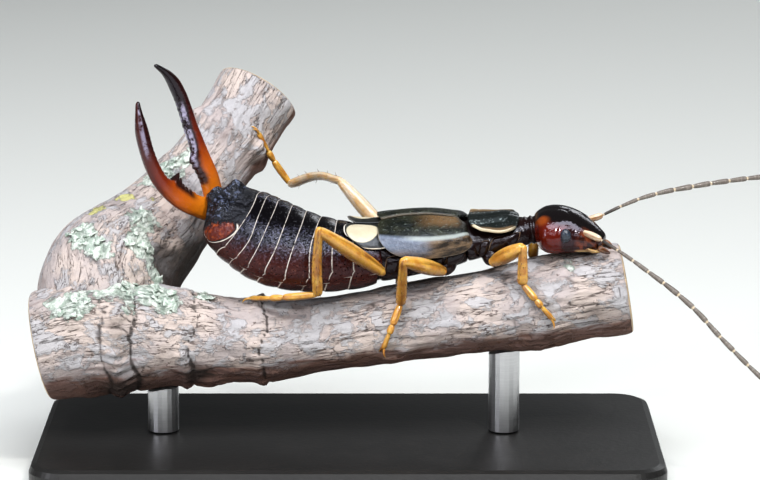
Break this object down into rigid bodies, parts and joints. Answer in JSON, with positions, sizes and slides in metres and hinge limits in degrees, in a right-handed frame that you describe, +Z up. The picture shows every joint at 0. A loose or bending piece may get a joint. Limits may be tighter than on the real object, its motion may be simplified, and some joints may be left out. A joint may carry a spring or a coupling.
{
  "type": "earwig model",
  "caption": "Still, life-size male earwig with raised curved forceps, gripping a short cut length of forked twig on a plain display stand",
  "frame": {"origin": "centre of the underside of the display stand's base, on the surface that it stands on", "axes": "+X towards the head along the twig, +Y to the insect's left, away from the side that the picture shows, +Z up"},
  "size_m": [0.026, 0.0123, 0.0132],
  "materials": {
    "dark_cuticle": "polished near-black brown shell",
    "red_cuticle": "polished dark red-brown shell",
    "wing_cover": "satin olive-brown wing cover with a faint metallic sheen",
    "wing_tip": "satin cream with a dark border",
    "amber_cuticle": "glossy amber, slightly translucent",
    "antenna": "matt grey-brown beads",
    "forceps": "polished orange-brown turning black at the teeth and tips",
    "eye": "dark blue-grey facets",
    "bark": "weathered grey bark with pale lichen",
    "stand_base": "satin black",
    "stand_rod": "brushed"
  },
  "bodies": {
    "root": {"prothorax": "dark_cuticle", "pterothorax": "dark_cuticle", "pronotum": "dark_cuticle", "abdomen_1": "dark_cuticle", "abdomen_2": "dark_cuticle", "abdomen_3": "dark_cuticle", "abdomen_4": "dark_cuticle", "abdomen_5": "dark_cuticle", "jaw_right": "dark_cuticle", "jaw_left": "dark_cuticle", "head": "red_cuticle", "abdomen_6": "red_cuticle", "abdomen_7": "red_cuticle", "last_ring": "red_cuticle", "wing_cover_right": "wing_cover", "wing_cover_left": "wing_cover", "wing_tip_right": "wing_tip", "wing_tip_left": "wing_tip", "palp_right": "amber_cuticle", "palp_left": "amber_cuticle", "antenna_right_root": "amber_cuticle", "antenna_left_root": "amber_cuticle", "coxa_front_right": "amber_cuticle", "femur_front_right": "amber_cuticle", "tibia_front_right": "amber_cuticle", "tarsus_front_right": "amber_cuticle", "coxa_front_left": "amber_cuticle", "femur_front_left": "amber_cuticle", "tibia_front_left": "amber_cuticle", "tarsus_front_left": "amber_cuticle", "coxa_middle_right": "amber_cuticle", "femur_middle_right": "amber_cuticle", "tibia_middle_right": "amber_cuticle", "tarsus_middle_right": "amber_cuticle", "coxa_middle_left": "amber_cuticle", "femur_middle_left": "amber_cuticle", "tibia_middle_left": "amber_cuticle", "tarsus_middle_left": "amber_cuticle", "coxa_hind_right": "amber_cuticle", "femur_hind_right": "amber_cuticle", "tibia_hind_right": "amber_cuticle", "tarsus_hind_right": "amber_cuticle", "coxa_hind_left": "amber_cuticle", "femur_hind_left": "amber_cuticle", "tibia_hind_left": "amber_cuticle", "tarsus_hind_left": "amber_cuticle", "antenna_right_length": "antenna", "antenna_right_tip": "antenna", "antenna_left_length": "antenna", "antenna_left_tip": "antenna", "forceps_right": "forceps", "forceps_left": "forceps", "eye_right": "eye", "eye_left": "eye", "perch_main": "bark", "perch_fork": "bark", "stand_base": "stand_base", "stand_rod_tail": "stand_rod", "stand_rod_head": "stand_rod"}
  },
  "joints": []
}
